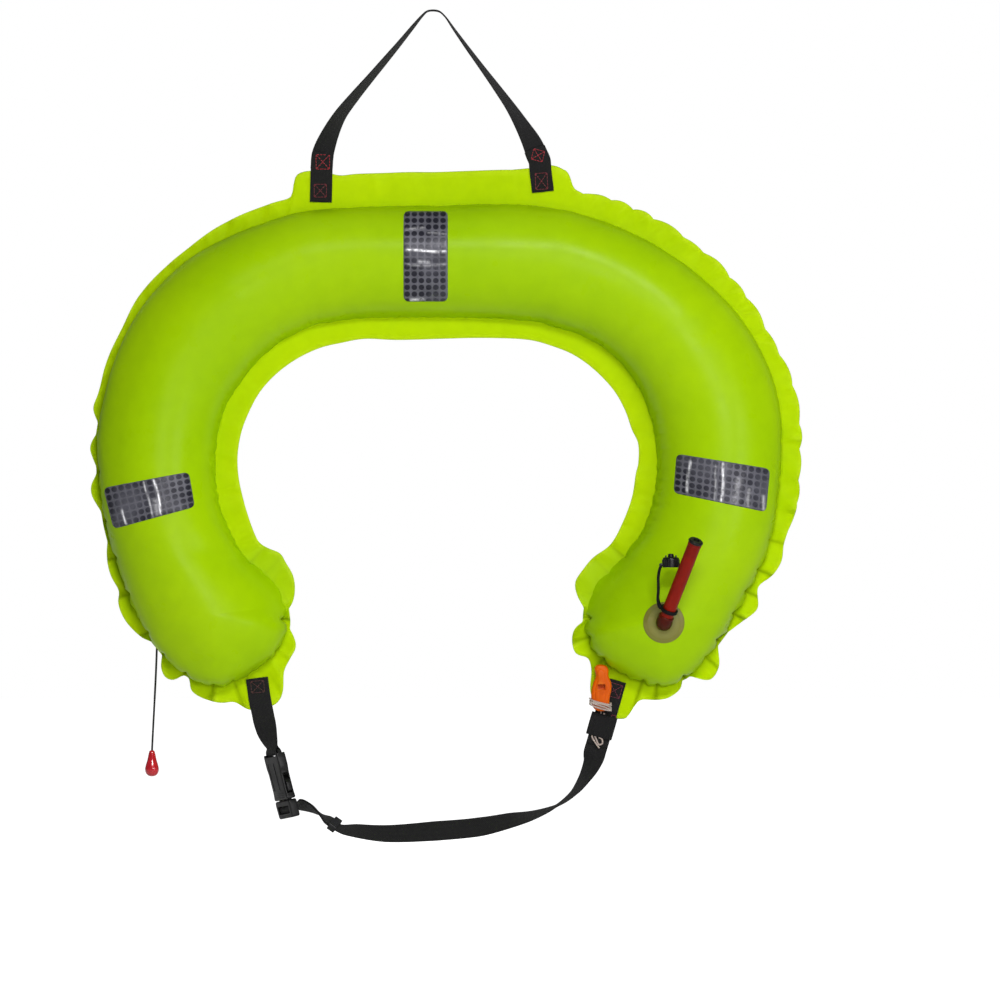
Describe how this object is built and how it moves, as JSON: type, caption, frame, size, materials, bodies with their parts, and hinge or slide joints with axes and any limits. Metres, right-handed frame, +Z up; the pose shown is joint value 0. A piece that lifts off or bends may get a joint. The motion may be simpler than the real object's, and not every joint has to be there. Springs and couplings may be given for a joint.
{
  "type": "inflatable horseshoe lifebuoy",
  "caption": "Inflated horseshoe rescue buoy of two welded fabric panels, with a lifting strap, a buckled belt, a whistle, an oral inflation tube and a pull-cord gas inflator on its back.",
  "frame": {"origin": "underside of the lifting strap's apex, where the buoy hangs on a hook", "axes": "+Z up with the buoy hanging from its strap, front face towards -Y, +X to the right seen from the front, and the weld between the two panels in the plane y = 0"},
  "size_m": [0.7941, 0.2384, 0.9319],
  "materials": {
    "coated_fabric": "satin",
    "reflective_tape": "satin",
    "webbing": "matte",
    "buckle_plastic": "satin",
    "whistle_plastic": "satin",
    "lanyard_cord": "matte",
    "weld_disc": "satin",
    "oral_tube_rubber": "satin",
    "black_rubber": "matte",
    "inflator_plastic": "satin",
    "lever_plastic": "satin",
    "steel": "satin",
    "brass": "satin",
    "cylinder_metal": "satin",
    "bead_plastic": "gloss",
    "cord_black": "matte"
  },
  "bodies": {
    "bladder": {"front_panel": "coated_fabric", "back_panel": "coated_fabric", "reflective_patch_top": "reflective_tape", "reflective_patch_left": "reflective_tape", "reflective_patch_right": "reflective_tape", "lift_strap_anchor_left": "webbing", "lift_strap_anchor_right": "webbing", "left_strap_anchor": "webbing", "right_strap_tab": "webbing", "whistle_lanyard": "lanyard_cord", "whistle_keeper": "webbing", "oral_valve_flange": "weld_disc", "oral_tube_socket": "oral_tube_rubber", "manifold_flange": "weld_disc", "manifold_gasket": "black_rubber", "manifold_stem": "brass", "inflator_body": "inflator_plastic", "lever_pin": "steel", "pin_spring": "steel", "cylinder_seal": "black_rubber"},
    "lift_strap": {"lift_strap": "webbing"},
    "belt": {"left_strap": "webbing", "buckle_socket": "buckle_plastic", "belt_webbing": "webbing", "belt_end_loop": "webbing"},
    "buckle_plug": {"buckle_plug": "buckle_plastic"},
    "prong_left": {"buckle_prong_left": "buckle_plastic"},
    "prong_right": {"buckle_prong_right": "buckle_plastic"},
    "belt_keeper": {"belt_keeper": "buckle_plastic"},
    "whistle": {"whistle": "whistle_plastic", "lanyard_wrap": "lanyard_cord"},
    "oral_tube": {"oral_tube": "oral_tube_rubber", "oral_mouthpiece": "black_rubber", "valve_spring": "steel"},
    "valve_poppet": {"valve_poppet": "black_rubber"},
    "cap_ring": {"tether_collar": "black_rubber", "cap_tether": "black_rubber"},
    "oral_cap": {"oral_cap": "black_rubber"},
    "firing_lever": {"firing_lever": "lever_plastic"},
    "pull_cord": {"pull_cord": "cord_black", "pull_bead": "bead_plastic"},
    "piercing_pin": {"piercing_pin": "steel"},
    "gas_cylinder": {"gas_cylinder": "cylinder_metal"},
    "retaining_nut": {"retaining_nut": "brass"}
  },
  "joints": [
    {"name": "lift_strap_swing", "type": "hinge", "parent": "bladder", "child": "lift_strap", "pos_m": [0, 0, -0.1715], "axis": [1, 0, 0], "range_deg": [-90, 90], "stiffness_Nm_per_rad": 0.05},
    {"name": "belt_swing", "type": "hinge", "parent": "bladder", "child": "belt", "pos_m": [-0.1906, 0, -0.7865], "axis": [0.994, 0, -0.1092], "range_deg": [-80, 80]},
    {"name": "buckle_release", "type": "slide", "parent": "belt", "child": "buckle_plug", "axis": [0.243, 0, -0.97], "range_m": [0, 0.032], "deforming": ["belt_end_loop", "buckle_prong_left", "buckle_prong_right"]},
    {"name": "prong_left_squeeze", "type": "hinge", "parent": "buckle_plug", "child": "prong_left", "pos_m": [-0.16921, 0.00777, -0.88348], "axis": [0.8565, 0.4695, 0.2146], "range_deg": [0, 7], "stiffness_Nm_per_rad": 0.5},
    {"name": "prong_right_squeeze", "type": "hinge", "parent": "buckle_plug", "child": "prong_right", "pos_m": [-0.1612, -0.00777, -0.88147], "axis": [0.8565, 0.4695, 0.2146], "range_deg": [-7.05, 0.05]},
    {"name": "belt_keeper_slide", "type": "slide", "parent": "belt", "child": "belt_keeper", "axis": [0.8151, -0.05, -0.5771], "range_m": [-0.003, 0.003]},
    {"name": "whistle_swing", "type": "hinge", "parent": "bladder", "child": "whistle", "pos_m": [0.188, -0.0175, -0.784], "axis": [1, 0, 0], "range_deg": [0, 100]},
    {"name": "oral_tube_bend", "type": "hinge", "parent": "bladder", "child": "oral_tube", "pos_m": [0.26329, -0.08317, -0.66829], "axis": [0.9342, 0, -0.3567], "range_deg": [-8, 30], "stiffness_Nm_per_rad": 0.4},
    {"name": "valve_press", "type": "slide", "parent": "oral_tube", "child": "valve_poppet", "axis": [-0.3253, 0.41, -0.8521], "range_m": [0, 0.003], "stiffness_N_per_m": 300, "deforming": ["valve_spring"]},
    {"name": "cap_ring_turn", "type": "hinge", "parent": "oral_tube", "child": "cap_ring", "pos_m": [0.26313, -0.08297, -0.66871], "axis": [0.3253, -0.41, 0.8521], "range_deg": [-90, 90]},
    {"name": "cap_tilt", "type": "hinge", "parent": "cap_ring", "child": "oral_cap", "pos_m": [0.2546, -0.092, -0.618], "axis": [0, 1, 0], "range_deg": [-25, 18], "stiffness_Nm_per_rad": 0.02},
    {"name": "lever_pull", "type": "hinge", "parent": "bladder", "child": "firing_lever", "pos_m": [-0.26443, 0.0871, -0.64528], "axis": [0, -1, 0], "range_deg": [0, 100]},
    {"name": "cord_follow", "type": "hinge", "parent": "firing_lever", "child": "pull_cord", "pos_m": [-0.31154, 0.0871, -0.61789], "axis": [0, -1, 0], "range_deg": [-100.5, 0.5]},
    {"name": "pin_strike", "type": "slide", "parent": "bladder", "child": "piercing_pin", "axis": [-0.445, 0, 0.8955], "range_m": [0, 0.00602], "deforming": ["pin_spring"]},
    {"name": "cylinder_unscrew", "type": "hinge", "parent": "bladder", "child": "gas_cylinder", "pos_m": [-0.276, 0.0871, -0.622], "axis": [-0.445, 0, 0.8955], "range_deg": [0, 720]},
    {"name": "nut_unscrew", "type": "hinge", "parent": "bladder", "child": "retaining_nut", "pos_m": [-0.2688, 0.1, -0.6095], "axis": [0, 1, 0], "range_deg": [0, 720]}
  ],
  "couplings": [
    {"joint": "prong_right_squeeze", "follows": "prong_left_squeeze", "ratio": -1},
    {"joint": "cord_follow", "follows": "lever_pull", "ratio": -1},
    {"joint": "pin_strike", "follows": "lever_pull", "m_per_rad": 0.0034377}
  ]
}
